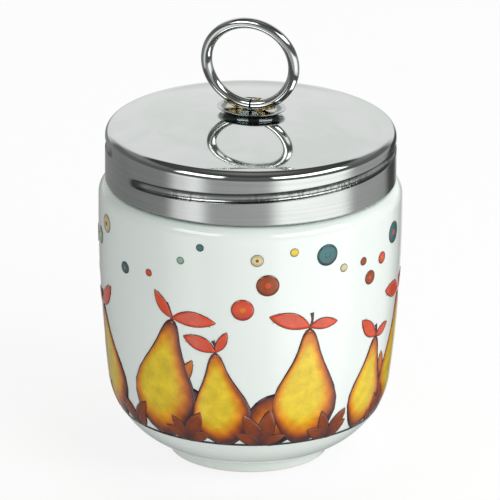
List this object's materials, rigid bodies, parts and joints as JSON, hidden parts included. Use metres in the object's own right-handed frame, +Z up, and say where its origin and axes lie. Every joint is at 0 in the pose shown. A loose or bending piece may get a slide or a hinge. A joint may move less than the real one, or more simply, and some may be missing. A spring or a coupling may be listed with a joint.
{
  "type": "egg coddler",
  "caption": "Porcelain egg coddler: round glazed cup on a foot ring, with a screw-on polished steel lid lifted by an upright wire ring.",
  "frame": {"origin": "centre of the plane of the foot ring, on the axis of the cup", "axes": "+Z up along the axis of the cup; the lifting ring stands along X, and -Y is the front"},
  "size_m": [0.064, 0.064, 0.0964],
  "materials": {
    "porcelain": "gloss glaze",
    "polished_steel": "polished",
    "soft_seal": "matt",
    "braze": "heat tinted"
  },
  "bodies": {
    "cup": {"porcelain_cup": "porcelain"},
    "seal": {"lid_seal": "soft_seal"},
    "lid": {"screw_lid": "polished_steel", "ring_collar": "polished_steel", "lifting_ring": "polished_steel", "braze_left": "braze", "braze_right": "braze"}
  },
  "joints": [
    {"name": "lid_rise", "type": "slide", "parent": "cup", "child": "seal", "axis": [0, 0, 1], "range_m": [0, 0.01235]},
    {"name": "lid_turn", "type": "hinge", "parent": "seal", "child": "lid", "pos_m": [0, 0, 0.0604], "axis": [0, 0, 1], "range_deg": [0, 600]}
  ],
  "couplings": [
    {"joint": "lid_rise", "follows": "lid_turn", "m_per_rad": 0.0011698}
  ]
}
